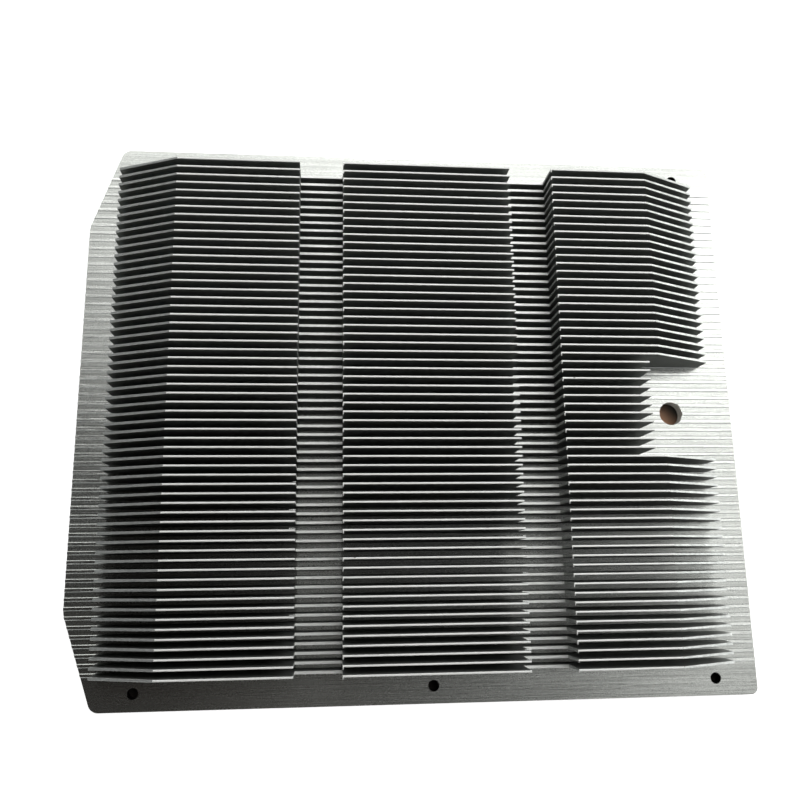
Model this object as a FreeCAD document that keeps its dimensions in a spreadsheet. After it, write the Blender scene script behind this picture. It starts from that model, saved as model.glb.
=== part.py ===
"""Extruded aluminium heat sink: a flat base plate under a comb of thin tapered fins.

The fins run along X. Across them, along Y, their ends are sloped, two shallow valleys are open
and the margins are skimmed down to low ridges, which are the fins' own roots. A notch is clear
around the large hole. Here the block gets its outline, its side profile and its holes while it
is still plain, and the gaps between the fins come last. Millimetres, +Z up, origin at the
middle of the plate's underside.
"""
import os

import FreeCAD, Part
import Sketcher

# Every driving size in millimetres, or a plain count. Sizes along X are from the plate's left edge.
SIZES = (
    ("plate_length", 297.5, "base plate along the fins"),
    ("plate_width", 250.0, "base plate across the fins"),
    ("base_thickness", 5.0, "floor between the fins above the underside"),
    ("corner_cut_length", 13.4, "cut-off left corner, along the fins"),
    ("corner_cut_width", 39.3, "cut-off left corner, across the fins"),
    ("right_corner_radius", 3.0, "square corners at the right"),
    ("cut_corner_radius", 4.5, "sharper end of each cut-off corner"),
    ("cut_shoulder_radius", 12.0, "blunter end of each cut-off corner"),
    ("fin_count", 59, "fins side by side"),
    ("fin_pitch", 3.8, "from one fin to the next"),
    ("fin_height", 22.5, "fin above the floor"),
    ("fin_tip_thickness", 0.9, "fin at its tip"),
    ("fin_root_thickness", 1.45, "fin at the floor"),
    ("root_flare", 0.15, "small flare where a fin meets the floor"),
    ("tip_break", 0.2, "broken edge along a fin's tip"),
    ("left_end", 14.4, "left end of the fins"),
    ("left_end_height", 10.4, "fin height at the left end"),
    ("left_slope_end", 42.2, "where the left slope reaches full height"),
    ("valley_one_start", 96.0, "first valley's left wall"),
    ("valley_one_end", 115.4, "first valley's right wall"),
    ("valley_two_start", 191.5, "second valley's left wall"),
    ("valley_two_end", 210.9, "second valley's right wall"),
    ("stub_height", 8.2, "fins left standing in the valleys"),
    ("right_slope_start", 254.9, "where the right slope leaves full height"),
    ("right_end", 283.4, "right end of the fins"),
    ("right_end_height", 9.3, "fin height at the right end"),
    ("ridge_height", 0.4, "fin roots left on the skimmed margins"),
    ("notch_start", 250.6, "right end of the fins beside the large hole"),
    ("notch_fins", 11, "fins cut short by the notch"),
    ("bore_diameter", 10.8, "large hole"),
    ("bore_inset", 29.1, "large hole from the right edge"),
    ("bore_countersink", 0.35, "large hole's mouth, wider than the hole by this"),
    ("bolt_diameter", 4.5, "small mounting holes"),
    ("bolt_first", 29.8, "first mounting hole from the left edge"),
    ("bolt_spacing", 124.5, "from one mounting hole to the next along a row"),
    ("bolt_inset", 7.2, "mounting rows from the long edges"),
    ("bolt_countersink", 0.3, "mounting hole's mouth, wider than the hole by this"),
    ("underside_break", 0.4, "broken edges of the underside"),
    ("overrun", 2.0, "cutter's travel past the blank"),
)

# Heights and positions that several features share, worked out from the sizes above.
TOP = "(sizes.base_thickness + sizes.fin_height)"
LEFT = "(-sizes.plate_length / 2)"
RIGHT = "(sizes.plate_length / 2)"
FRONT = "(-sizes.plate_width / 2)"
BACK = "(sizes.plate_width / 2)"
ABOVE = f"({TOP} + sizes.overrun)"
SKIM = "(sizes.base_thickness + sizes.ridge_height)"
OUTER_FIN = "((sizes.fin_count - 1) / 2 * sizes.fin_pitch)"


def make_sizes(doc):
    """Write the sizes into a spreadsheet, one named cell each."""
    sheet = doc.addObject("Spreadsheet::Sheet", "sizes")
    for row, (name, value, note) in enumerate(SIZES, start=1):
        sheet.set(f"A{row}", name)
        sheet.set(f"B{row}", str(value))
        sheet.set(f"C{row}", note)
        sheet.setAlias(f"B{row}", name)
    doc.recompute()
    return sheet


def from_left(name):
    """Expression for a size measured from the plate's left edge."""
    return f"{LEFT} + sizes.{name}"


def add_sketch(body, name, role, height=None):
    """Attach a new sketch to one of the body's origin planes, lifted to a height if one is given."""
    sketch = body.newObject("Sketcher::SketchObject", name)
    plane = next(item for item in body.Origin.OriginFeatures if item.Role == role)
    sketch.AttachmentSupport = [(plane, "")]
    sketch.MapMode = "FlatFace"
    if height:
        sketch.setExpression("AttachmentOffset.Base.z", height)
    return sketch


def pin_point(sketch, geometry, position, name, across, up):
    """Hold one point of a sketch at a pair of expressions, measured from the sketch's origin."""
    for axis, expression in (("DistanceX", across), ("DistanceY", up)):
        value = float(sketch.evalExpression(expression))
        index = sketch.addConstraint(
            Sketcher.Constraint(axis, -1, 1, geometry, position, value))
        label = f"{name}_{axis[-1].lower()}"
        sketch.renameConstraint(index, label)
        sketch.setExpression(f"Constraints.{label}", expression)


def add_outline(sketch, name, corners):
    """Draw a closed outline whose corners are pairs of expressions."""
    points = [
        FreeCAD.Vector(float(sketch.evalExpression(across)), float(sketch.evalExpression(up)), 0)
        for across, up in corners
    ]
    lines = [
        sketch.addGeometry(Part.LineSegment(start, end))
        for start, end in zip(points, points[1:] + points[:1])
    ]
    for line, following in zip(lines, lines[1:] + lines[:1]):
        sketch.addConstraint(Sketcher.Constraint("Coincident", line, 2, following, 1))
    for index, (line, (across, up)) in enumerate(zip(lines, corners), start=1):
        pin_point(sketch, line, 1, f"{name}_{index}", across, up)


def add_hole_centres(sketch, diameter, centres):
    """Draw circles at pairs of expressions."""
    for index, (across, up) in enumerate(centres, start=1):
        radius = float(sketch.evalExpression(diameter)) / 2
        circle = sketch.addGeometry(Part.Circle(
            FreeCAD.Vector(float(sketch.evalExpression(across)),
                           float(sketch.evalExpression(up)), 0),
            FreeCAD.Vector(0, 0, 1), radius))
        size = sketch.addConstraint(Sketcher.Constraint("Diameter", circle, radius * 2))
        sketch.renameConstraint(size, f"diameter_{index}")
        sketch.setExpression(f"Constraints.diameter_{index}", diameter)
        pin_point(sketch, circle, 3, f"centre_{index}", across, up)


def add_through_pocket(body, name, sketch):
    """Cut a sketch's areas out of the body all the way through, both ways."""
    pocket = body.newObject("PartDesign::Pocket", name)
    pocket.Profile = sketch
    pocket.SideType = "Symmetric"
    pocket.Type = "ThroughAll"
    sketch.Visibility = False
    return pocket


def upright_edges(shape, test):
    """Names of a prism's upright edges whose middle passes a test."""
    names = []
    for index, edge in enumerate(shape.Edges, start=1):
        run = edge.Vertexes[-1].Point - edge.Vertexes[0].Point
        middle = edge.CenterOfMass
        if abs(run.z) > abs(run.x) + abs(run.y) and test(middle):
            names.append(f"Edge{index}")
    return names


def round_corners(doc, body, name, radius, test):
    """Fillet the upright edges that pass a test."""
    doc.recompute()
    before = body.Tip
    fillet = body.newObject("PartDesign::Fillet", name)
    fillet.Base = (before, upright_edges(before.Shape, test))
    fillet.setExpression("Radius", f"sizes.{radius}")


def add_blank(doc, body, sheet):
    """Block as high as the fins, cut to the plate's outline with its corners rounded."""
    outline = add_sketch(body, "plate_outline", "XY_Plane")
    cut_x = f"{LEFT} + sizes.corner_cut_length"
    add_outline(outline, "corner", (
        (LEFT, f"{FRONT} + sizes.corner_cut_width"),
        (cut_x, FRONT),
        (RIGHT, FRONT),
        (RIGHT, BACK),
        (cut_x, BACK),
        (LEFT, f"{BACK} - sizes.corner_cut_width"),
    ))
    blank = body.newObject("PartDesign::Pad", "blank")
    blank.Profile = outline
    blank.setExpression("Length", TOP)
    left = -float(sheet.plate_length) / 2
    cut_middle = left + float(sheet.corner_cut_length) / 2
    round_corners(doc, body, "right_corners", "right_corner_radius", lambda at: at.x > 0)
    round_corners(doc, body, "cut_corners", "cut_corner_radius",
                  lambda at: cut_middle < at.x < 0)
    round_corners(doc, body, "cut_shoulders", "cut_shoulder_radius",
                  lambda at: at.x < cut_middle)


def fin_side(centre, sign):
    """Corners of one side of a fin, from its foot to above its tip."""
    root = "sizes.fin_root_thickness / 2"
    tip = "sizes.fin_tip_thickness / 2"
    return (
        (f"{centre} {sign} ({root} + sizes.root_flare)", "sizes.base_thickness"),
        (f"{centre} {sign} {root}", "sizes.base_thickness + sizes.root_flare"),
        (f"{centre} {sign} {tip}", f"{TOP} - sizes.tip_break"),
        (f"{centre} {sign} ({tip} - sizes.tip_break)", TOP),
        (f"{centre} {sign} ({tip} - sizes.tip_break)", ABOVE),
    )


def add_side_strips(body):
    """Cut the plain strips outside the outermost fins down to the floor."""
    strips = add_sketch(body, "strip_sections", "YZ_Plane")
    for name, centre, sign, edge in (
        ("front", f"(-{OUTER_FIN})", "-", f"{FRONT} - sizes.overrun"),
        ("back", OUTER_FIN, "+", f"{BACK} + sizes.overrun"),
    ):
        outside = ((edge, ABOVE), (edge, "sizes.base_thickness"))
        add_outline(strips, name, fin_side(centre, sign) + outside)
    add_through_pocket(body, "side_strips", strips)


def add_fins(doc, body):
    """Cut the gaps between the fins: one tapered gap, repeated at the fins' pitch."""
    section = add_sketch(body, "gap_section", "YZ_Plane")
    outermost = f"(-{OUTER_FIN})"
    second = f"({outermost} + sizes.fin_pitch)"
    add_outline(section, "gap", fin_side(outermost, "+") + fin_side(second, "-")[::-1])
    gap = add_through_pocket(body, "first_gap", section)
    doc.recompute()
    fins = body.newObject("PartDesign::LinearPattern", "fins")
    fins.Originals = [gap]
    fins.Direction = (section, ["H_Axis"])
    fins.setExpression("Length", "(sizes.fin_count - 2) * sizes.fin_pitch")
    fins.setExpression("Occurrences", "sizes.fin_count - 1")
    body.Tip = fins


def add_side_profile(body):
    """Cut the sloped ends, the two valleys and the margins straight across the block."""
    profile = add_sketch(body, "milled_profile", "XZ_Plane")
    stub_top = "sizes.base_thickness + sizes.stub_height"
    for side, edge, end, kink, end_height in (
        ("left", f"{LEFT} - sizes.overrun", "left_end", "left_slope_end", "left_end_height"),
        ("right", f"{RIGHT} + sizes.overrun", "right_end", "right_slope_start",
         "right_end_height"),
    ):
        add_outline(profile, side, (
            (edge, ABOVE),
            (edge, SKIM),
            (from_left(end), SKIM),
            (from_left(end), f"sizes.base_thickness + sizes.{end_height}"),
            (from_left(kink), TOP),
            (from_left(kink), ABOVE),
        ))
    for valley in ("valley_one", "valley_two"):
        start = from_left(f"{valley}_start")
        end = from_left(f"{valley}_end")
        add_outline(profile, valley, (
            (start, ABOVE),
            (start, stub_top),
            (end, stub_top),
            (end, ABOVE),
        ))
    add_through_pocket(body, "milled_ends_and_valleys", profile)


def add_notch(body):
    """Clear the fins beside the large hole, from the notch to the right edge."""
    plan = add_sketch(body, "notch_plan", "XY_Plane", SKIM)
    half_width = "sizes.notch_fins * sizes.fin_pitch / 2"
    end = f"{RIGHT} + sizes.overrun"
    add_outline(plan, "notch", (
        (from_left("notch_start"), f"-{half_width}"),
        (end, f"-{half_width}"),
        (end, half_width),
        (from_left("notch_start"), half_width),
    ))
    notch = body.newObject("PartDesign::Pocket", "notch")
    notch.Profile = plan
    notch.Type = "ThroughAll"
    notch.Reversed = True
    plan.Visibility = False


def add_holes(doc, body, name, height, diameter, countersink, centres):
    """Drill countersunk holes straight down through the plate."""
    doc.recompute()
    plan = add_sketch(body, f"{name}_plan", "XY_Plane", height)
    add_hole_centres(plan, diameter, centres)
    doc.recompute()
    hole = body.newObject("PartDesign::Hole", name)
    hole.Profile = plan
    doc.recompute()
    hole.DepthType = "ThroughAll"
    hole.HoleCutType = "Countersink"
    hole.HoleCutCustomValues = True
    hole.HoleCutCountersinkAngle = 90
    hole.setExpression("Diameter", diameter)
    hole.setExpression("HoleCutDiameter", f"{diameter} + {countersink}")
    plan.Visibility = False
    doc.recompute()


def break_underside(doc, body):
    """Chamfer every edge of the flat underside."""
    doc.recompute()
    before = body.Tip
    names = [
        f"Edge{index}"
        for index, edge in enumerate(before.Shape.Edges, start=1)
        if edge.BoundBox.ZMax < edge.Tolerance
    ]
    chamfer = body.newObject("PartDesign::Chamfer", "underside_edges")
    chamfer.Base = (before, names)
    chamfer.setExpression("Size", "sizes.underside_break")


def make_heat_sink(doc, sheet):
    """Build the whole heat sink as one body."""
    body = doc.addObject("PartDesign::Body", "heat_sink")
    body.Label = "heat_sink"
    add_blank(doc, body, sheet)
    add_side_profile(body)
    add_notch(body)
    rows = (f"{FRONT} + sizes.bolt_inset", f"{BACK} - sizes.bolt_inset")
    steps = ("0", "sizes.bolt_spacing", "2 * sizes.bolt_spacing")
    add_holes(doc, body, "mounting_holes", "sizes.base_thickness", "sizes.bolt_diameter",
              "sizes.bolt_countersink",
              [(f"{from_left('bolt_first')} + {step}", row) for row in rows for step in steps])
    add_holes(doc, body, "large_hole", SKIM, "sizes.bore_diameter", "sizes.bore_countersink",
              [(f"{RIGHT} - sizes.bore_inset", "0")])
    break_underside(doc, body)
    add_side_strips(body)
    add_fins(doc, body)
    doc.recompute()
    return body


def check_document(doc, bodies):
    """Stop if any object failed to build or a body isn't one valid solid."""
    for item in doc.Objects:
        if "Invalid" in item.State or "Error" in item.State:
            raise RuntimeError(f"{item.Name} did not build: {item.State}")
    for body in bodies:
        if body.Shape.isNull() or not body.Shape.isValid():
            raise RuntimeError(f"{body.Label} has no valid shape")
        if len(body.Shape.Solids) != 1:
            raise RuntimeError(f"{body.Label} is not one solid")


def main():
    """Build the heat sink and write it out."""
    os.makedirs("parts", exist_ok=True)
    doc = FreeCAD.newDocument("heat_sink")
    sheet = make_sizes(doc)
    heat_sink = make_heat_sink(doc, sheet)
    check_document(doc, (heat_sink,))
    heat_sink.Shape.exportStep(f"parts/{heat_sink.Label}.step")
    print(f"{heat_sink.Label}: {heat_sink.Shape.Volume / 1000:.1f} cm3, {heat_sink.Shape.BoundBox}")


main()
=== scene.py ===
"""Looks of the extruded heat sink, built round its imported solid."""

import logging
import math
import random
from collections.abc import Callable
from dataclasses import dataclass, field
from enum import Enum

import bpy
from mathutils import Matrix, Vector

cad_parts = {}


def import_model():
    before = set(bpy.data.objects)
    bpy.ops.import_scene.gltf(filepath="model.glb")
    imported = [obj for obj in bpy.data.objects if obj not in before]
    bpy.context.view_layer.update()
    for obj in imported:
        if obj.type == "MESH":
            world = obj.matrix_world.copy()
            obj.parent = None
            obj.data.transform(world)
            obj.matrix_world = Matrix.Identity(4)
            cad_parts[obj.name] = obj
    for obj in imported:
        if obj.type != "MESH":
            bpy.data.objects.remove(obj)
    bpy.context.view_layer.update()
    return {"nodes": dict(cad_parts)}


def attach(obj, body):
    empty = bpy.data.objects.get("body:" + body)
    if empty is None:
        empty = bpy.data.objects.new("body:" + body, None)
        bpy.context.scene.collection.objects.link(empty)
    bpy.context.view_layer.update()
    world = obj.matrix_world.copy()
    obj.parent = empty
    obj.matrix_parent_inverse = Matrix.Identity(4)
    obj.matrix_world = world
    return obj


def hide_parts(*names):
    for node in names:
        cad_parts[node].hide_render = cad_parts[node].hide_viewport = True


log = logging.getLogger("heat_sink")

MM = 0.001

FLOOR_TOP = 5.0 * MM
RIDGE_TOP = 5.4 * MM
FIN_TOP = 27.5 * MM
FIN_ROUNDING = 0.13 * MM
SLACK = 0.02 * MM

FINE_CONTRAST = (0.36, 0.64)
SOFT_CONTRAST = (0.32, 0.68)
BROAD_CONTRAST = (0.3, 0.7)

Colour = tuple[float, float, float]


def to_object_mode() -> None:
    """Leave edit mode if it is on."""
    if bpy.context.object and bpy.context.object.mode != "OBJECT":
        bpy.ops.object.mode_set(mode="OBJECT")


def select_none() -> None:
    """Deselect every object."""
    to_object_mode()
    bpy.ops.object.select_all(action="DESELECT")


def select_only(piece: bpy.types.Object) -> None:
    """Select one object and make it the active one.

    Args:
        piece: The object to work on.
    """
    select_none()
    piece.select_set(True)
    bpy.context.view_layer.objects.active = piece


class Zone(Enum):
    """Which kind of surface a face belongs to; the value is its material slot number."""

    SKIN = 0
    SKIMMED = 1
    TIP = 2
    FLANK = 3
    SLOPE = 4
    STUB = 5
    SAWN = 6
    UNDERSIDE = 7
    DRILLED = 8
    BORED = 9


class NodeTree:
    """Short way to add and join shader nodes in one tree."""

    def __init__(self, tree: bpy.types.ShaderNodeTree) -> None:
        """Keep the tree that nodes are added to.

        Args:
            tree: A material's tree or a group's tree.
        """
        self.tree = tree

    def add(self, kind: str, **values: object) -> bpy.types.ShaderNode:
        """Add a node and set its properties and unlinked inputs.

        Args:
            kind: Node type, such as ShaderNodeMath.
            values: Properties by name, or inputs as in_NAME with underscores for spaces.

        Returns:
            The new node.
        """
        node = self.tree.nodes.new(kind)
        for name, value in values.items():
            if name.startswith("in_"):
                node.inputs[name[3:].replace("_", " ")].default_value = value
            else:
                setattr(node, name, value)
        return node

    def join(self, source: bpy.types.NodeSocket, target: bpy.types.NodeSocket) -> None:
        """Link one socket to another."""
        self.tree.links.new(source, target)

    def feed(self, target: bpy.types.NodeSocket, value: object) -> None:
        """Link a socket to an input, or set the input to a plain number or colour.

        Args:
            target: The input.
            value: A socket, a number, a colour, or nothing.
        """
        if isinstance(value, bpy.types.NodeSocket):
            self.join(value, target)
        elif isinstance(value, (int, float)):
            target.default_value = value
        elif value is not None:
            target.default_value = (*value, 1.0)

    def math(self, operation: str, first: object,
             second: object = None) -> bpy.types.NodeSocket:
        """Add a Math node on sockets or plain numbers.

        Args:
            operation: The Math node's operation.
            first: A socket or a number.
            second: A socket or a number, or nothing.

        Returns:
            The result socket.
        """
        node = self.add("ShaderNodeMath", operation=operation)
        self.feed(node.inputs[0], first)
        self.feed(node.inputs[1], second)
        return node.outputs[0]

    def spread(self, value: bpy.types.NodeSocket, low: float, high: float,
               to_low: float = 0.0, to_high: float = 1.0) -> bpy.types.NodeSocket:
        """Stretch a range of values over another one, and clamp it there.

        Args:
            value: The socket to stretch.
            low: Value that becomes to_low.
            high: Value that becomes to_high.
            to_low: Lower end of the result.
            to_high: Upper end of the result.

        Returns:
            The result socket.
        """
        node = self.add("ShaderNodeMapRange")
        for slot, number in zip(node.inputs[1:5], (low, high, to_low, to_high)):
            slot.default_value = number
        self.join(value, node.inputs[0])
        return node.outputs[0]

    def blend(self, amount: object, low: object, high: object) -> bpy.types.NodeSocket:
        """Mix two colours or colour sockets by an amount.

        Args:
            amount: A socket or a number from 0 to 1.
            low: Colour at 0.
            high: Colour at 1.

        Returns:
            The mixed colour socket.
        """
        node = self.add("ShaderNodeMix", data_type="RGBA")
        for slot, value in zip((node.inputs[0], node.inputs[6], node.inputs[7]),
                               (amount, low, high)):
            self.feed(slot, value)
        return node.outputs[2]

    def object_point(self, stretch: object = None) -> bpy.types.NodeSocket:
        """Give the point on the object, stretched along its axes.

        Args:
            stretch: A vector socket, three numbers, or nothing.

        Returns:
            The vector socket.
        """
        place = self.add("ShaderNodeTexCoord")
        if stretch is None:
            return place.outputs["Object"]
        scaled = self.add("ShaderNodeVectorMath", operation="MULTIPLY")
        self.join(place.outputs["Object"], scaled.inputs[0])
        if isinstance(stretch, bpy.types.NodeSocket):
            self.join(stretch, scaled.inputs[1])
        else:
            scaled.inputs[1].default_value = stretch
        return scaled.outputs[0]


def start_group(name: str, takes: dict[str, object],
                gives: tuple[str, ...]) -> tuple[NodeTree, bpy.types.ShaderNode,
                                                 bpy.types.ShaderNode]:
    """Start a shared node group with named numbers or vectors in and numbers out.

    Args:
        name: The group's name.
        takes: Default of each input, a number or three numbers.
        gives: Names of the outputs.

    Returns:
        The group's nodes, its input node and its output node.
    """
    group = bpy.data.node_groups.new(name, "ShaderNodeTree")
    for label, default in takes.items():
        kind = "NodeSocketFloat" if isinstance(default, float) else "NodeSocketVector"
        socket = group.interface.new_socket(label, in_out="INPUT", socket_type=kind)
        socket.default_value = default
    for label in gives:
        group.interface.new_socket(label, in_out="OUTPUT", socket_type="NodeSocketFloat")
    nodes = NodeTree(group)
    return nodes, nodes.add("NodeGroupInput"), nodes.add("NodeGroupOutput")


def fine_lines_group() -> bpy.types.ShaderNodeTree:
    """Make the group of fine lines along one axis: die lines, saw lines and cutter marks.

    Returns:
        The group, with outputs Lines, which is fine, and Bands, which is broad and faint.
    """
    band_fineness = 0.3
    nodes, entry, leave = start_group(
        "fine_lines", {"Stretch": (1.0, 1.0, 1.0), "Fineness": 1000.0}, ("Lines", "Bands"))
    point = nodes.object_point(entry.outputs["Stretch"])
    fine = nodes.add("ShaderNodeTexNoise", in_Detail=3.0, in_Roughness=0.6)
    nodes.join(point, fine.inputs["Vector"])
    nodes.join(entry.outputs["Fineness"], fine.inputs["Scale"])
    nodes.join(nodes.spread(fine.outputs["Fac"], *FINE_CONTRAST), leave.inputs["Lines"])
    broad = nodes.add("ShaderNodeTexNoise", in_Detail=2.0, in_Roughness=0.55)
    nodes.join(point, broad.inputs["Vector"])
    nodes.join(nodes.math("MULTIPLY", entry.outputs["Fineness"], band_fineness),
               broad.inputs["Scale"])
    nodes.join(nodes.spread(broad.outputs["Fac"], *BROAD_CONTRAST), leave.inputs["Bands"])
    return nodes.tree


def scuffs_group() -> bpy.types.ShaderNodeTree:
    """Make the group of handling marks: cloudy patches, a fine grain and a few dark pinpricks.

    Returns:
        The group, with outputs Cloud, Grain and Pricks.
    """
    bare_cells = 0.975
    nodes, entry, leave = start_group("scuffs", {"Pinprick Size": 0.1},
                                      ("Cloud", "Grain", "Pricks"))
    cloud = nodes.add("ShaderNodeTexNoise", in_Scale=34.0, in_Detail=5.0, in_Roughness=0.6)
    nodes.join(nodes.object_point((0.45, 1.0, 1.0)), cloud.inputs["Vector"])
    nodes.join(nodes.spread(cloud.outputs["Fac"], *SOFT_CONTRAST), leave.inputs["Cloud"])
    grain = nodes.add("ShaderNodeTexNoise", in_Scale=1700.0, in_Detail=1.0)
    nodes.join(nodes.object_point((0.7, 1.0, 1.0)), grain.inputs["Vector"])
    nodes.join(nodes.spread(grain.outputs["Fac"], *SOFT_CONTRAST), leave.inputs["Grain"])
    cells = nodes.add("ShaderNodeTexVoronoi", in_Scale=210.0)
    nodes.join(nodes.object_point(), cells.inputs["Vector"])
    rare = nodes.add("ShaderNodeTexWhiteNoise")
    nodes.join(cells.outputs["Position"], rare.inputs["Vector"])
    chosen = nodes.math("GREATER_THAN", rare.outputs["Value"], bare_cells)
    near = nodes.math("LESS_THAN", cells.outputs["Distance"], entry.outputs["Pinprick Size"])
    nodes.join(nodes.math("MULTIPLY", chosen, near), leave.inputs["Pricks"])
    return nodes.tree


def fly_cut_group() -> bpy.types.ShaderNodeTree:
    """Make the group of shallow arcs that a wide cutter leaves on a flat face.

    Returns:
        The group, with inputs Cutter Radius, in metres, and Fineness, and output Lines.
    """
    nodes, entry, leave = start_group(
        "fly_cut_arcs", {"Cutter Radius": 0.15, "Fineness": 700.0}, ("Lines",))
    split = nodes.add("ShaderNodeSeparateXYZ")
    nodes.join(nodes.object_point(), split.inputs[0])
    reach = nodes.math("MULTIPLY", entry.outputs["Cutter Radius"], entry.outputs["Cutter Radius"])
    across = nodes.math("MULTIPLY", split.outputs["Y"], split.outputs["Y"])
    bow = nodes.math("SQRT", nodes.math("SUBTRACT", reach, across))
    travel = nodes.math("SUBTRACT", split.outputs["X"], bow)
    noise = nodes.add("ShaderNodeTexNoise", noise_dimensions="1D", in_Detail=3.0)
    nodes.join(travel, noise.inputs["W"])
    nodes.join(entry.outputs["Fineness"], noise.inputs["Scale"])
    nodes.join(nodes.spread(noise.outputs["Fac"], *FINE_CONTRAST), leave.inputs["Lines"])
    return nodes.tree


def painted_gap_shade_group() -> bpy.types.ShaderNodeTree:
    """Make the mask of painted shade on the floor between the fins, apart from the open margins
    and notch.

    Returns:
        The group, with output Painted Shade, which is 1 where shade is painted between the fins
        and 0 on the margins, in the notch and in the left valley.
    """
    left_fade = (-134 * MM, -128 * MM)
    right_fade = (134 * MM, 106 * MM)
    nodes, entry, leave = start_group(
        "painted_gap_shade", {"Fins Reach": 110.7 * MM, "Notch Start": 101.9 * MM,
                         "Notch Reach": 22.2 * MM, "Valley Middle": -43.1 * MM,
                         "Valley Reach": 9.5 * MM}, ("Painted Shade",))
    split = nodes.add("ShaderNodeSeparateXYZ")
    nodes.join(nodes.object_point(), split.inputs[0])
    along, across = split.outputs["X"], nodes.math("ABSOLUTE", split.outputs["Y"])
    beside = nodes.math("LESS_THAN", across, entry.outputs["Fins Reach"])
    past_notch = nodes.math("GREATER_THAN", along, entry.outputs["Notch Start"])
    in_notch = nodes.math("MULTIPLY", past_notch,
                          nodes.math("LESS_THAN", across, entry.outputs["Notch Reach"]))
    from_valley = nodes.math("SUBTRACT", along, entry.outputs["Valley Middle"])
    in_valley = nodes.math("LESS_THAN", nodes.math("ABSOLUTE", from_valley),
                           entry.outputs["Valley Reach"])
    closed = nodes.math("SUBTRACT", 1.0, nodes.math("MAXIMUM", in_notch, in_valley))
    ends = nodes.math("MULTIPLY", nodes.spread(along, *left_fade),
                      nodes.spread(along, *right_fade))
    nodes.join(nodes.math("MULTIPLY", nodes.math("MULTIPLY", beside, closed), ends),
               leave.inputs["Painted Shade"])
    return nodes.tree


def shaded(colour: Colour, share: float) -> Colour:
    """Give a share of a colour."""
    return tuple(part * share for part in colour)


@dataclass(frozen=True)
class MetalFinish:
    """One kind of aluminium surface on the heat sink.

    It runs between a light and a dull colour by fine lines, broad bands, grain and clouds.
    Painted_gap_shade paints shade between the fins, and glancing and gloss dim it at a low angle.
    """

    name: str
    light: Colour
    dull: Colour
    stretch: tuple[float, float, float]
    fineness: float
    bump: float
    roughness: float
    roughness_swing: float
    metallic: float = 1.0
    grain_share: float = 0.0
    cloud_share: float = 0.2
    arcs: bool = False
    painted_gap_shade: float = 1.0
    gap_shade_swing: float = 0.5
    prick_shade: float = 0.4
    line_depth: float = 0.05 * MM
    glancing: float = 1.0
    gloss: float = 0.5

    def build(self, groups: dict[str, bpy.types.ShaderNodeTree]) -> bpy.types.Material:
        """Make the material.

        Args:
            groups: The shared groups by name.

        Returns:
            The finished material.
        """
        material = bpy.data.materials.new(self.name)
        material.use_nodes = True
        nodes = NodeTree(material.node_tree)
        shader = material.node_tree.nodes["Principled BSDF"]
        shader.inputs["Metallic"].default_value = self.metallic
        shader.inputs["Specular Tint"].default_value = (*[self.glancing] * 3, 1.0)
        shader.inputs["Specular IOR Level"].default_value = self.gloss
        marks = nodes.add("ShaderNodeGroup", node_tree=groups["fine_lines"])
        marks.inputs["Stretch"].default_value = self.stretch
        marks.inputs["Fineness"].default_value = self.fineness
        scuffs = nodes.add("ShaderNodeGroup", node_tree=groups["scuffs"])
        lines = marks.outputs["Lines"]
        if self.arcs:
            lines = nodes.add("ShaderNodeGroup", node_tree=groups["fly_cut_arcs"]).outputs["Lines"]
        half_lines = (1.0 - self.cloud_share - self.grain_share) / 2
        shares = ((lines, half_lines), (marks.outputs["Bands"], half_lines),
                  (scuffs.outputs["Grain"], self.grain_share),
                  (scuffs.outputs["Cloud"], self.cloud_share))
        dulling = 0.0
        for part, share in shares:
            dulling = nodes.math("ADD", dulling, nodes.math("MULTIPLY", part, share))
        tint = nodes.blend(dulling, self.light, self.dull)
        # Painted shade: between the fins the colour turns darker and more even.
        if self.painted_gap_shade < 1.0:
            place = nodes.add("ShaderNodeGroup", node_tree=groups["painted_gap_shade"])
            tint = nodes.blend(place.outputs["Painted Shade"], tint, self.gap_shade_colour(nodes, dulling))
        pricked = nodes.blend(scuffs.outputs["Pricks"], tint, shaded(self.dull, self.prick_shade))
        nodes.join(pricked, shader.inputs["Base Color"])
        rough = nodes.spread(dulling, 0.0, 1.0, self.roughness - self.roughness_swing / 2,
                             self.roughness + self.roughness_swing / 2)
        nodes.join(rough, shader.inputs["Roughness"])
        bump = nodes.add("ShaderNodeBump", in_Strength=self.bump, in_Distance=self.line_depth)
        nodes.join(lines, bump.inputs["Height"])
        nodes.join(bump.outputs["Normal"], shader.inputs["Normal"])
        return material

    def gap_shade_colour(self, nodes: NodeTree, dulling: bpy.types.NodeSocket) -> bpy.types.NodeSocket:
        """Make the painted shade between the fins: a darker and more even colour of the floor.

        Args:
            nodes: The material's nodes.
            dulling: How dull the finish is at each point, from 0 to 1.

        Returns:
            The colour socket.
        """
        even = nodes.math("ADD", nodes.math("MULTIPLY", dulling, self.gap_shade_swing),
                          (1.0 - self.gap_shade_swing) / 2)
        return nodes.blend(even, shaded(self.light, self.painted_gap_shade),
                           shaded(self.dull, self.painted_gap_shade))


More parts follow.
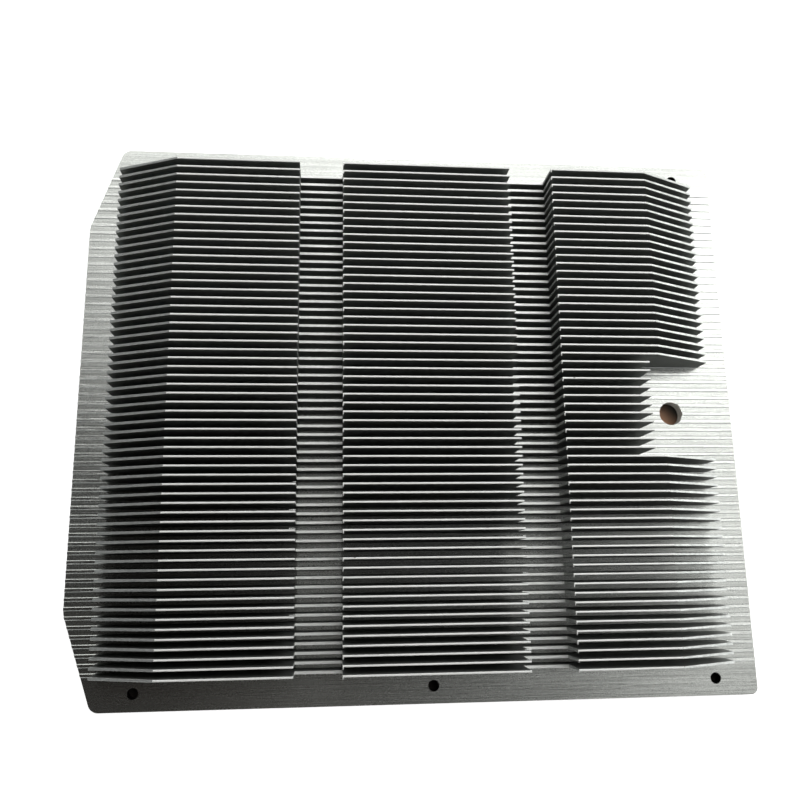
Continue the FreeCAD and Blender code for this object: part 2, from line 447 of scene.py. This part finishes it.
FINISHES = {
    # The skin is darkened to 0.55 between the fins as painted shade.
    Zone.SKIN: MetalFinish("extruded_skin", (0.69, 0.71, 0.67), (0.40, 0.41, 0.39),
                           (0.02, 1.0, 1.0), 1900.0, 0.3, 0.27, 0.07, grain_share=0.2,
                           painted_gap_shade=0.55),
    Zone.SKIMMED: MetalFinish("skimmed_ridge", (0.90, 0.92, 0.875), (0.62, 0.635, 0.605),
                              (0.04, 1.0, 1.0), 1900.0, 0.45, 0.22, 0.08, grain_share=0.15),
    # Painted highlight: the tips are near-white and mostly diffuse, so they stay as bright as a
    # caught highlight under any light.
    Zone.TIP: MetalFinish("rounded_tip_painted_highlight", (0.985, 1.0, 0.965), (0.925, 0.94, 0.905),
                          (0.05, 1.0, 1.0), 900.0, 0.1, 0.30, 0.08, metallic=0.18),
    # Painted shade: the flanks are coloured much darker than the same extruded metal on the skin,
    # for the shade in the narrow gaps.
    Zone.FLANK: MetalFinish("fin_flank_painted_shade", (0.37, 0.385, 0.37), (0.30, 0.31, 0.30),
                            (0.015, 1.0, 1.0), 1300.0, 0.08, 0.29, 0.05, metallic=0.7,
                            glancing=0.12, gloss=0.25),
    Zone.SLOPE: MetalFinish("milled_slope", (0.59, 0.61, 0.58), (0.30, 0.31, 0.295),
                            (0.12, 1.0, 1.0), 1500.0, 0.5, 0.54, 0.14, metallic=0.9,
                            grain_share=0.15),
    Zone.STUB: MetalFinish("milled_stub", (0.985, 1.0, 0.965), (0.80, 0.815, 0.785),
                           (0.25, 1.0, 1.0), 1700.0, 0.5, 0.50, 0.16, metallic=0.7,
                           grain_share=0.2),
    Zone.SAWN: MetalFinish("sawn_edge", (0.80, 0.81, 0.78), (0.56, 0.57, 0.545),
                           (0.3, 0.3, 1.0), 1400.0, 0.45, 0.38, 0.12),
    Zone.UNDERSIDE: MetalFinish("fly_cut_underside", (0.82, 0.83, 0.80), (0.64, 0.65, 0.62),
                                (1.0, 0.03, 1.0), 1200.0, 0.3, 0.28, 0.12, arcs=True),
    # Painted shade: the drilled walls are near-black, for the shade deep inside the small holes.
    Zone.DRILLED: MetalFinish("drilled_wall_painted_shade", (0.06, 0.06, 0.055), (0.04, 0.038, 0.035),
                              (0.2, 0.2, 1.0), 2600.0, 0.4, 0.4, 0.1),
    Zone.BORED: MetalFinish("bored_wall", (0.95, 0.95, 0.92), (0.70, 0.70, 0.67),
                            (0.2, 0.2, 1.0), 2600.0, 0.4, 0.5, 0.1, metallic=0.6),
}


@dataclass(frozen=True)
class FaceSorter:
    """Tells the finish of each face from its place and its lean.

    A lean is the share of the face's normal that lies along one axis.
    """

    root_flare: float = 0.16 * MM
    skimmed_start: float = 0.1 * MM
    stub_start: float = 0.2 * MM
    flank_start: float = 0.5 * MM
    stub_top: float = 13.2 * MM
    tip_depth: float = 0.24 * MM
    tip_rim: float = 0.15 * MM
    half_length: float = 148.75 * MM
    half_width: float = 125.0 * MM
    cut_corner: tuple[float, float] = (14.0 * MM, 85.0 * MM)
    rim: float = 1.0 * MM
    side_skin: float = 0.5 * MM
    bore_centre: float = 119.65 * MM
    bore_reach: float = 7.0 * MM
    level: float = 0.9
    bored: float = 0.8
    countersunk: float = 0.3
    upright: float = 0.5
    sloping: float = 0.25
    slope_edge: float = 0.1
    rounded: tuple[float, float] = (0.2, 0.97)

    def zone_of(self, centre: Vector, normal: Vector, height: float) -> Zone:
        """Tell which finish a face has.

        Args:
            centre: Middle of the face.
            normal: The face's normal.
            height: Z of the face's highest corner.

        Returns:
            The face's zone.
        """
        if normal.z < -self.level:
            return Zone.UNDERSIDE
        if height < FLOOR_TOP + SLACK and abs(normal.z) < self.level:
            return self.low_zone(centre, normal)
        if self.on_bore(centre) and normal.z < self.bored:
            return Zone.BORED
        if self.is_rounded(normal) and centre.z > FLOOR_TOP + self.root_flare:
            return self.rounded_zone(centre, normal)
        if abs(normal.x) > self.sloping:
            return Zone.SLOPE
        if centre.z > FIN_TOP - self.tip_depth and height > FIN_TOP - self.tip_rim:
            return Zone.TIP
        if height > RIDGE_TOP + self.flank_start and abs(normal.y) > self.upright:
            return Zone.FLANK
        if normal.z > self.level and centre.z > RIDGE_TOP + self.stub_start:
            return Zone.STUB
        return Zone.SKIMMED if centre.z > FLOOR_TOP + self.skimmed_start else Zone.SKIN

    def low_zone(self, centre: Vector, normal: Vector) -> Zone:
        """Tell the finish of an upright or leaning face below the plate's upper face.

        Args:
            centre: Middle of the face.
            normal: The face's normal.

        Returns:
            The face's zone.
        """
        if self.on_bore(centre):
            return Zone.SLOPE if normal.z > self.countersunk else Zone.BORED
        length, width = self.cut_corner
        inside = (abs(centre.x) < self.half_length - self.rim
                  and abs(centre.y) < self.half_width - self.rim)
        on_corner = centre.x < length - self.half_length and abs(centre.y) > width
        if inside and not on_corner:
            return Zone.DRILLED
        return Zone.SAWN if abs(centre.y) < self.half_width - self.side_skin else Zone.SKIN

    def rounded_zone(self, centre: Vector, normal: Vector) -> Zone:
        """Tell the finish of a narrow face along a fin's rounded outline.

        Args:
            centre: Middle of the face.
            normal: The face's normal.

        Returns:
            The face's zone.
        """
        if centre.z < RIDGE_TOP:
            return Zone.SKIMMED
        if abs(normal.x) > self.slope_edge:
            return Zone.SLOPE
        if centre.z > FIN_TOP - FIN_ROUNDING:
            return Zone.TIP
        return Zone.STUB if abs(centre.z - self.stub_top) < FIN_ROUNDING else Zone.SLOPE

    def is_rounded(self, normal: Vector) -> bool:
        """Tell whether a face leans as the narrow faces of a rounded edge do."""
        low, high = self.rounded
        return low < abs(normal.y) < high

    def on_bore(self, centre: Vector) -> bool:
        """Tell whether a face is within reach of the large hole."""
        return max(abs(centre.x - self.bore_centre), abs(centre.y)) < self.bore_reach


@dataclass
class FinnedBody:
    """The dressed body of the heat sink, made from the solid's own mesh."""

    ridge_rounding: float = 0.23 * MM
    rounding_segments: int = 3
    merge_within: float = 0.002 * MM
    clean_within: float = 0.001 * MM
    flat_within_degrees: float = 0.5
    across_share: float = 0.1
    sorter: FaceSorter = FaceSorter()
    piece: bpy.types.Object | None = field(default=None, init=False)

    def build(self, node: bpy.types.Object) -> bpy.types.Object:
        """Copy the solid's mesh, clean it and round the edges of the fins.

        Args:
            node: The solid's own object, which stays as it is.

        Returns:
            The dressed body.
        """
        select_only(node)
        bpy.ops.object.duplicate()
        self.piece = bpy.context.object
        self.piece.name = "finned_body"
        self.piece.data.name = "finned_body"
        select_only(self.piece)
        bpy.ops.object.mode_set(mode="EDIT")
        bpy.ops.mesh.select_all(action="SELECT")
        bpy.ops.mesh.remove_doubles(threshold=self.merge_within)
        bpy.ops.mesh.dissolve_limited(angle_limit=math.radians(self.flat_within_degrees))
        bpy.ops.object.mode_set(mode="OBJECT")
        self.round_fin_outlines()
        self.clean()
        return self.piece

    def round_fin_outlines(self) -> None:
        """Round the edges along every fin's outline, and the low ridges more than the rest."""
        mesh = self.piece.data
        weights = mesh.attributes.new("bevel_weight_edge", "FLOAT", "EDGE").data
        for edge, weight in zip(mesh.edges, weights):
            one, other = (mesh.vertices[index].co for index in edge.vertices)
            standing = min(one.z, other.z) > RIDGE_TOP - SLACK
            in_flank = abs(one.y - other.y) < self.across_share * (one - other).length
            if standing and in_flank:
                on_ridge = max(one.z, other.z) < RIDGE_TOP + SLACK
                weight.value = 1.0 if on_ridge else FIN_ROUNDING / self.ridge_rounding
        rounding = self.piece.modifiers.new("rounding", "BEVEL")
        rounding.limit_method = "WEIGHT"
        rounding.width = self.ridge_rounding
        rounding.segments = self.rounding_segments
        rounding.use_clamp_overlap = False
        bpy.ops.object.modifier_apply(modifier="rounding")

    def clean(self) -> None:
        """Merge the corners that the rounding left on each other, so no face has zero area."""
        bpy.ops.object.mode_set(mode="EDIT")
        bpy.ops.mesh.select_all(action="SELECT")
        bpy.ops.mesh.remove_doubles(threshold=self.clean_within)
        bpy.ops.mesh.dissolve_degenerate(threshold=self.clean_within)
        bpy.ops.object.mode_set(mode="OBJECT")

    def dress(self, materials: dict[Zone, bpy.types.Material]) -> None:
        """Give every face its finish.

        Args:
            materials: One material for each zone.
        """
        mesh = self.piece.data
        mesh.materials.clear()
        for zone in Zone:
            mesh.materials.append(materials[zone])
        for face in mesh.polygons:
            height = max(mesh.vertices[index].co.z for index in face.vertices)
            zone = self.sorter.zone_of(face.center, face.normal, height)
            face.material_index = zone.value
            on_edge = self.sorter.is_rounded(face.normal) and face.center.z > RIDGE_TOP
            face.use_smooth = zone is Zone.TIP or on_edge


@dataclass(frozen=True)
class Burrs:
    """Small burrs that the milling left at the fins' upper corners beside the valleys."""

    fin_count: int = 59
    fin_pitch: float = 3.8 * MM
    fin_side: float = 0.47 * MM
    lip_walls: tuple[float, ...] = (-33.35 * MM, 62.15 * MM)
    lip_length: float = 1.15 * MM
    lip_width: float = 0.52 * MM
    lip_thickness: float = 0.14 * MM
    lip_taper: tuple[float, float, float] = (0.5, 1.0, 0.6)
    lip_skew: float = 0.2
    lip_droop: float = 1.5
    lip_inset: float = 0.4
    lip_sizes: tuple[float, float] = (0.45, 1.0)
    lip_turn: float = 0.15
    crumb_size: float = 0.6 * MM
    crumb_squash: tuple[float, float, float] = (1.2, 0.8, 0.7)
    crumb_pinch: tuple[float, float, float] = (1.0, 0.5, 0.6)
    crumb_tail: tuple[float, float] = (0.15, 0.1)
    crumb_spacing: float = 1.15
    crumb_start: float = 0.2
    crumb_gap_mm: tuple[float, float] = (0.28, 0.42)
    crumb_drop: float = 0.4 * MM
    crumb_sizes: tuple[float, float] = (0.7, 1.1)
    crumb_turn: float = 0.8
    crumb_rows: tuple[tuple[float, tuple[tuple[int, int], ...]], ...] = (
        (-52.75 * MM, ((41, 4), (43, 4), (38, 2), (52, 3))),
        (42.75 * MM, ((44, 2), (48, 3), (50, 4), (51, 4), (52, 3), (53, 4), (55, 3), (56, 4),
                      (57, 3), (14, 2))),
    )
    seed: int = 5

    def build(self, material: bpy.types.Material) -> list[bpy.types.Object]:
        """Model one lip and one crumb, and copy them along the valleys.

        Args:
            material: Finish of the torn metal.

        Returns:
            The lips as one object and the crumbs as another.
        """
        chance = random.Random(self.seed)
        lips = self.lip_places(chance)
        crumbs = self.crumb_places(chance)
        pieces = [self.copy_along("corner_lips", self.model_lip(), lips),
                  self.copy_along("corner_crumbs", self.model_crumb(), crumbs)]
        for piece in pieces:
            piece.data.materials.append(material)
        return pieces

    def lip_places(self, chance: random.Random) -> list[tuple[Vector, float, float]]:
        """Place one lip at each fin's corner, on the right wall of each valley.

        Args:
            chance: The seeded source of random numbers.

        Returns:
            Position, size factor and turn of each lip.
        """
        places = []
        for wall in self.lip_walls:
            for number in range(self.fin_count):
                across = (number - (self.fin_count - 1) / 2) * self.fin_pitch - self.fin_side
                place = Vector((wall + self.lip_width * self.lip_inset, across,
                                FIN_TOP - self.lip_thickness))
                places.append((place, chance.uniform(*self.lip_sizes),
                               chance.uniform(-self.lip_turn, self.lip_turn)))
        return places

    def crumb_places(self, chance: random.Random) -> list[tuple[Vector, float, float]]:
        """Place short rows of crumbs beside some of the fins, left of each valley.

        Args:
            chance: The seeded source of random numbers.

        Returns:
            Position, size factor and turn of each crumb.
        """
        places = []
        for wall, rows in self.crumb_rows:
            for number, count in rows:
                centre = ((self.fin_count - 1) / 2 - number) * self.fin_pitch
                for step in range(count):
                    along = (self.crumb_start + step) * self.crumb_size * self.crumb_spacing
                    gap = chance.uniform(*self.crumb_gap_mm) * MM
                    place = Vector((wall - along, centre + self.fin_side + gap,
                                    FIN_TOP - self.crumb_drop))
                    places.append((place, chance.uniform(*self.crumb_sizes),
                                   chance.uniform(-self.crumb_turn, self.crumb_turn)))
        return places

    def model_lip(self) -> bpy.types.Object:
        """Model a thin tongue of metal that sticks out of a fin's corner and droops.

        Returns:
            The lip, with its root at the origin.
        """
        select_none()
        bpy.ops.mesh.primitive_cube_add(size=1.0, location=(0, 0, 0))
        lip = bpy.context.object
        bpy.ops.object.mode_set(mode="EDIT")
        bpy.ops.transform.resize(value=(self.lip_width, self.lip_length, self.lip_thickness))
        bpy.ops.transform.translate(value=(0, self.lip_thickness - self.lip_length / 2, 0))
        self.move_corners(lip, lambda co: co.y < -self.lip_length / 2, self.lip_taper,
                          (-self.lip_width * self.lip_skew, 0.0,
                           -self.lip_thickness * self.lip_droop))
        bpy.ops.object.mode_set(mode="OBJECT")
        return lip

    def model_crumb(self) -> bpy.types.Object:
        """Model a torn crumb of metal, a squashed and pinched ball of few faces.

        Returns:
            The crumb, centred on the origin.
        """
        select_none()
        bpy.ops.mesh.primitive_ico_sphere_add(subdivisions=1, radius=self.crumb_size / 2,
                                              location=(0, 0, 0))
        crumb = bpy.context.object
        bpy.ops.object.mode_set(mode="EDIT")
        bpy.ops.transform.resize(value=self.crumb_squash)
        out, up = self.crumb_tail
        self.move_corners(crumb, lambda co: co.x > self.crumb_size * 0.2, self.crumb_pinch,
                          (self.crumb_size * out, 0.0, self.crumb_size * up))
        bpy.ops.object.mode_set(mode="OBJECT")
        return crumb

    @staticmethod
    def move_corners(piece: bpy.types.Object, test: Callable[[Vector], bool],
                     scale: tuple[float, float, float], shift: tuple[float, float, float]) -> None:
        """Scale and shift the corners that pass a test, in edit mode.

        Args:
            piece: The object in edit mode.
            test: Tells whether a corner is moved.
            scale: Factor along each axis about the origin.
            shift: Movement along each axis after that.
        """
        bpy.ops.mesh.select_all(action="DESELECT")
        bpy.ops.mesh.select_mode(type="VERT")
        bpy.ops.object.mode_set(mode="OBJECT")
        for corner in piece.data.vertices:
            corner.select = test(corner.co)
        bpy.ops.object.mode_set(mode="EDIT")
        bpy.ops.transform.resize(value=scale, center_override=(0, 0, 0))
        bpy.ops.transform.translate(value=shift)

    @staticmethod
    def copy_along(name: str, model: bpy.types.Object,
                   places: list[tuple[Vector, float, float]]) -> bpy.types.Object:
        """Copy a small model to many places and join the copies.

        Args:
            name: Name of the joined piece.
            model: The model, which is used up.
            places: Position, size factor and turn about the fins' direction of each copy.

        Returns:
            The joined piece, with its places in its mesh.
        """
        copies = []
        for place, size, turn in places:
            select_only(model)
            bpy.ops.object.duplicate()
            copy = bpy.context.object
            copy.location = place
            copy.scale = (size, size, size)
            copy.rotation_euler = (turn * 0.5, turn, turn)
            copies.append(copy)
        bpy.data.objects.remove(model)
        select_none()
        for copy in copies:
            copy.select_set(True)
        bpy.context.view_layer.objects.active = copies[0]
        bpy.ops.object.transform_apply(location=True, rotation=True, scale=True)
        bpy.ops.object.join()
        joined = bpy.context.object
        joined.name = name
        joined.data.name = name
        return joined


@dataclass(frozen=True)
class ViewPoint:
    """Camera placed as the photograph was taken, from a fit to the fins' edges."""

    focal_px: float = 796.9
    image_px: float = 800.0
    sensor_mm: float = 36.0
    place_mm: tuple[float, float, float] = (-39.5, -68.0, 357.8)
    turn: tuple[float, float, float] = (-0.2060, 0.0898, 0.0042)
    nearest: float = 0.01
    farthest: float = 20.0

    def build(self) -> None:
        """Add the camera and make it the scene's own."""
        data = bpy.data.cameras.new("camera")
        data.sensor_width = self.sensor_mm
        data.lens = self.focal_px / self.image_px * self.sensor_mm
        data.clip_start = self.nearest
        data.clip_end = self.farthest
        camera = bpy.data.objects.new("camera", data)
        bpy.context.scene.collection.objects.link(camera)
        turn = Vector(self.turn)
        world_to_camera = Matrix.Rotation(turn.length, 3, turn.normalized())
        rotation = world_to_camera.transposed().to_4x4()
        camera.matrix_world = Matrix.Translation(Vector(self.place_mm) * MM) @ rotation
        bpy.context.scene.camera = camera


@dataclass(frozen=True)
class SoftLamp:
    """One square soft lamp that points at the heat sink."""

    name: str
    azimuth: float
    elevation: float
    size: float
    watts: float
    colour: Colour = (1.0, 1.0, 1.0)
    distance: float = 1.5

    def build(self) -> None:
        """Add the lamp."""
        data = bpy.data.lights.new(self.name, "AREA")
        data.shape = "SQUARE"
        data.size = self.size
        data.energy = self.watts
        data.color = self.colour
        lamp = bpy.data.objects.new(self.name, data)
        bpy.context.scene.collection.objects.link(lamp)
        turn, rise = math.radians(self.azimuth), math.radians(self.elevation)
        toward = Vector((math.cos(turn) * math.cos(rise), math.sin(turn) * math.cos(rise),
                         math.sin(rise)))
        lamp.location = toward * self.distance
        lamp.rotation_euler = (-toward).to_track_quat("-Z", "Y").to_euler()


@dataclass(frozen=True)
class Studio:
    """Pale floor, pale surroundings and soft lamps."""

    floor_size: float = 6.0
    floor_glow: float = 0.86
    floor_roughness: float = 0.9
    floor_colour: Colour = (0.82, 0.82, 0.82)
    shaded_colour: Colour = (0.03, 0.025, 0.02)
    bore_colour: Colour = (0.26, 0.14, 0.08)
    bore_centre: float = 119.7 * MM
    bore_reach: float = 10.0 * MM
    bore_shade: tuple[float, float] = (6.0 * MM, -5.0 * MM)
    under_plate: tuple[float, float] = (134.5 * MM, 123.5 * MM)
    world_colour: Colour = (0.92, 0.94, 1.0)
    world_strength: float = 0.012
    horizon_middle: float = 0.62
    horizon_lean: tuple[float, float, float] = (0.24, -0.26, 0.0)
    horizon_height: tuple[float, float] = (0.34, 0.55)
    lamps: tuple[SoftLamp, ...] = (
        SoftLamp("window_right", 21, 35, 0.6, 10.4),
        SoftLamp("window_back", 110, 35, 0.75, 3.0),
        SoftLamp("skylight", 55, 59, 1.0, 5.8),
        SoftLamp("skylight_back", 110, 57, 0.85, 2.4),
        SoftLamp("skylight_side", -8, 57, 0.55, 1.1),
        SoftLamp("low_right", 0, 12, 0.7, 4.6),
        SoftLamp("low_back", 128, 12, 0.8, 1.5),
        SoftLamp("room", 270, 36, 0.9, 1.7, (1.0, 0.97, 0.9)),
        SoftLamp("warm_ceiling", 235, 73, 0.8, 0.02, (1.0, 0.55, 0.25)),
        SoftLamp("overhead", 110, 86, 0.25, 0.08),
        SoftLamp("overhead_near", 255, 82, 0.25, 0.035),
        SoftLamp("overhead_right", -30, 75, 0.3, 0.10),
    )

    def build(self) -> None:
        """Add the floor, the world and the lamps."""
        self.add_floor()
        self.add_world()
        for lamp in self.lamps:
            lamp.build()

    def add_floor(self) -> None:
        """Add a white floor that keeps the object's shadow, with painted shade under the plate.

        Under the large hole it is brown, with painted shade darker towards one side.
        """
        select_none()
        bpy.ops.mesh.primitive_plane_add(size=self.floor_size, location=(0, 0, 0))
        floor = bpy.context.object
        floor.name = "floor"
        material = bpy.data.materials.new("white_floor")
        material.use_nodes = True
        nodes = NodeTree(material.node_tree)
        shader = material.node_tree.nodes["Principled BSDF"]
        shader.inputs["Roughness"].default_value = self.floor_roughness
        split = nodes.add("ShaderNodeSeparateXYZ")
        nodes.join(nodes.object_point(), split.inputs[0])
        beside = [nodes.math("GREATER_THAN", nodes.math("ABSOLUTE", split.outputs[axis]), reach)
                  for axis, reach in zip("XY", self.under_plate)]
        rays = nodes.add("ShaderNodeLightPath")
        seen = nodes.math("MAXIMUM", rays.outputs["Is Camera Ray"],
                          nodes.math("MAXIMUM", rays.outputs["Is Glossy Ray"],
                                     rays.outputs["Is Transmission Ray"]))
        open_floor = nodes.math("MAXIMUM", *beside)
        strength = nodes.math("MULTIPLY", nodes.math("MULTIPLY", seen, open_floor),
                              self.floor_glow)
        from_bore = nodes.math("SUBTRACT", split.outputs["X"], self.bore_centre)
        farthest = nodes.math("MAXIMUM", nodes.math("ABSOLUTE", from_bore),
                              nodes.math("ABSOLUTE", split.outputs["Y"]))
        by_bore = nodes.math("LESS_THAN", farthest, self.bore_reach)
        # Painted shade: near-black under the plate, and brown under the large hole, fading to
        # near-black towards one side.
        slant = nodes.math("ADD", from_bore, split.outputs["Y"])
        lit = nodes.math("MULTIPLY", by_bore, nodes.spread(slant, *self.bore_shade))
        under = nodes.blend(lit, self.shaded_colour, self.bore_colour)
        nodes.join(nodes.blend(open_floor, under, self.floor_colour),
                   shader.inputs["Base Color"])
        shader.inputs["Emission Color"].default_value = (1, 1, 1, 1)
        nodes.join(strength, shader.inputs["Emission Strength"])
        floor.data.materials.append(material)

    def add_world(self) -> None:
        """Set the world: plain white to the camera, and a pale low band to the bare metal."""
        world = bpy.data.worlds.new("pale_room")
        bpy.context.scene.world = world
        world.use_nodes = True
        nodes = NodeTree(world.node_tree)
        background = world.node_tree.nodes["Background"]
        rays = nodes.add("ShaderNodeLightPath")
        tint = nodes.blend(rays.outputs["Is Camera Ray"], self.world_colour, (1.0, 1.0, 1.0))
        nodes.join(tint, background.inputs["Color"])
        toward = nodes.add("ShaderNodeTexCoord").outputs["Generated"]
        split = nodes.add("ShaderNodeSeparateXYZ")
        nodes.join(toward, split.inputs[0])
        lean = nodes.add("ShaderNodeVectorMath", operation="DOT_PRODUCT")
        nodes.join(toward, lean.inputs[0])
        lean.inputs[1].default_value = self.horizon_lean
        palest = nodes.math("ADD", lean.outputs["Value"], self.horizon_middle)
        band = nodes.math("MULTIPLY", palest,
                          nodes.spread(split.outputs["Z"], *self.horizon_height, 1.0, 0.0))
        mirrored = nodes.math("MAXIMUM", rays.outputs["Is Glossy Ray"],
                              rays.outputs["Is Transmission Ray"])
        low = nodes.math("ADD", nodes.math("MULTIPLY", band, mirrored), self.world_strength)
        strength = nodes.math("MAXIMUM", low, rays.outputs["Is Camera Ray"])
        nodes.join(strength, background.inputs["Strength"])


def main() -> None:
    """Build the dressed heat sink on its stage."""
    logging.basicConfig(level=logging.INFO, format="%(name)s: %(message)s")
    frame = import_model()
    scene = bpy.context.scene
    scene.view_settings.view_transform = "Standard"

    groups = {group.name: group for group in (fine_lines_group(), scuffs_group(),
                                              fly_cut_group(), painted_gap_shade_group())}
    materials = {zone: finish.build(groups) for zone, finish in FINISHES.items()}

    body = FinnedBody()
    piece = body.build(frame["nodes"]["heat_sink"])
    body.dress(materials)
    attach(piece, "root")
    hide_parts("heat_sink")
    log.info("%s: %d faces", piece.name, len(piece.data.polygons))

    # The burrs take the tips' near-white colour, so they carry the same painted highlight.
    for piece in Burrs().build(materials[Zone.TIP]):
        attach(piece, "root")
        log.info("%s: %d faces", piece.name, len(piece.data.polygons))

    ViewPoint().build()
    studio = Studio()
    studio.build()
    log.info("stage: %d lamps", len(studio.lamps))


if __name__ == "__main__":
    main()
